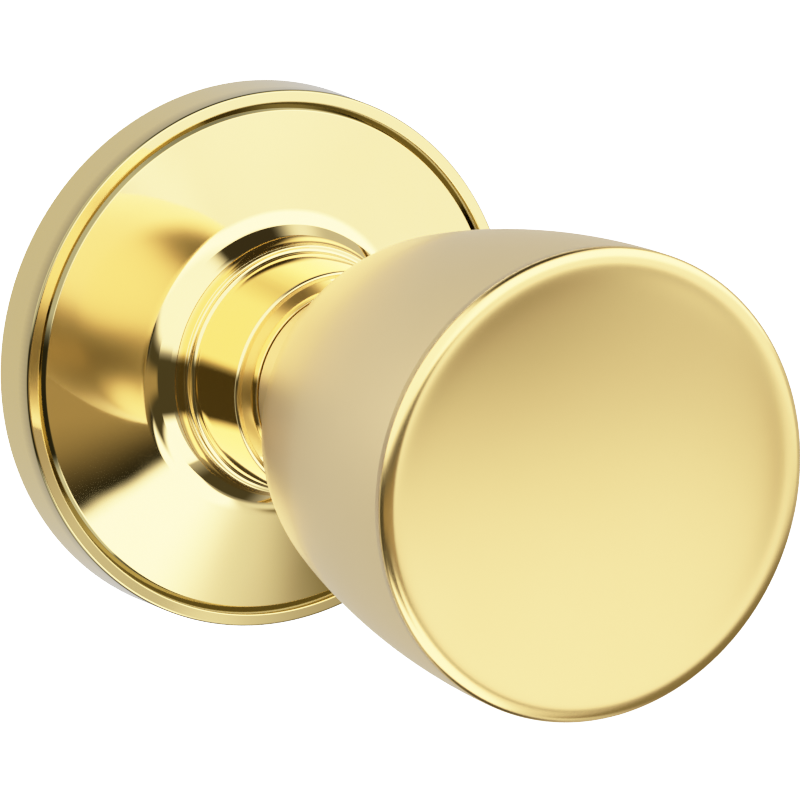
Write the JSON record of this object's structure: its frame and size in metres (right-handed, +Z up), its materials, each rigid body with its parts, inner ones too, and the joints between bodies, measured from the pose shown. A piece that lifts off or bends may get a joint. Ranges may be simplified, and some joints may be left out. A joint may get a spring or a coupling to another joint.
{
  "type": "door knob",
  "caption": "Passage door knob, outside half: a round rose with a neck sleeve, a bell-shaped knob with a dished face that turns and springs back, and a square spindle behind.",
  "frame": {"origin": "on the knob's axis, in the plane of the mounting plate's back, which stands on the door's surface", "axes": "-Y out of the door along the knob's axis, +Y into the door, +Z up"},
  "size_m": [0.065, 0.1286, 0.065],
  "materials": {
    "lacquered_brass": "polished and lacquered",
    "satin_brass": "finely satin polished and lacquered",
    "turned_brass": "turned",
    "zinc_casting": "die-cast zinc alloy",
    "nylon": "moulded nylon",
    "zinc_plated_steel": "stamped and zinc plated",
    "spring_steel": "hardened and oiled",
    "mild_steel": "drawn bar and tube"
  },
  "bodies": {
    "rose_side": {"rose": "lacquered_brass", "neck_sleeve": "lacquered_brass", "bearing_hub": "zinc_casting", "bearing_bush": "nylon", "thrust_ring": "turned_brass", "mounting_plate": "zinc_plated_steel", "mounting_posts": "zinc_plated_steel", "spring_housing": "zinc_plated_steel", "housing_rivets": "mild_steel", "return_spring": "spring_steel", "wave_washer": "spring_steel"},
    "knob_side": {"driver_plate": "mild_steel", "driver_clip": "spring_steel", "retaining_ring": "spring_steel", "knob_shank": "mild_steel", "spindle_hub": "zinc_casting", "spindle": "zinc_plated_steel", "spindle_pin": "spring_steel", "knob_shell": "satin_brass", "knob_core": "mild_steel", "face_backing": "mild_steel", "knob_face": "satin_brass"}
  },
  "joints": [
    {"name": "knob_turn", "type": "hinge", "parent": "rose_side", "child": "knob_side", "pos_m": [0, 0, 0], "axis": [0, -1, 0], "range_deg": [-55, 55], "stiffness_Nm_per_rad": 0.35, "deforming": ["return_spring"]}
  ]
}
